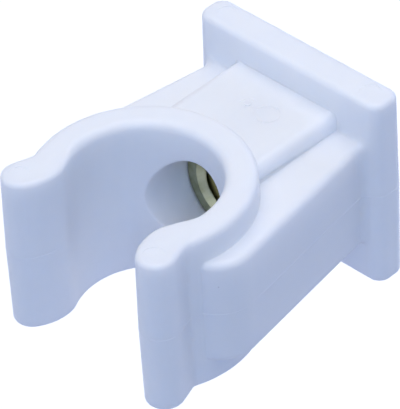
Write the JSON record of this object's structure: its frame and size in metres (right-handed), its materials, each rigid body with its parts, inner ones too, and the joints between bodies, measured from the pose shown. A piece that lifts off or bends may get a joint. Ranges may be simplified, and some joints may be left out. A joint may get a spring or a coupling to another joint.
{
  "type": "pipe clip",
  "caption": "Snap-in pipe clip: a white moulded C-shaped pipe seat with flared lips on a tapering neck and a flat foot plate, moulded round a threaded metal insert.",
  "frame": {"origin": "centre of the foot plate's back face, which lies on the wall", "axes": "+Y out of the back face, towards the wall; the clip stands out along -Y with its mouth open that way; +Z along the pipe; X across the mouth"},
  "size_m": [0.0264, 0.033, 0.022],
  "materials": {
    "white_plastic": "satin, as moulded",
    "insert_metal": "turned, dull"
  },
  "bodies": {
    "root": {"clip_body": "white_plastic", "threaded_insert": "insert_metal"}
  },
  "joints": []
}
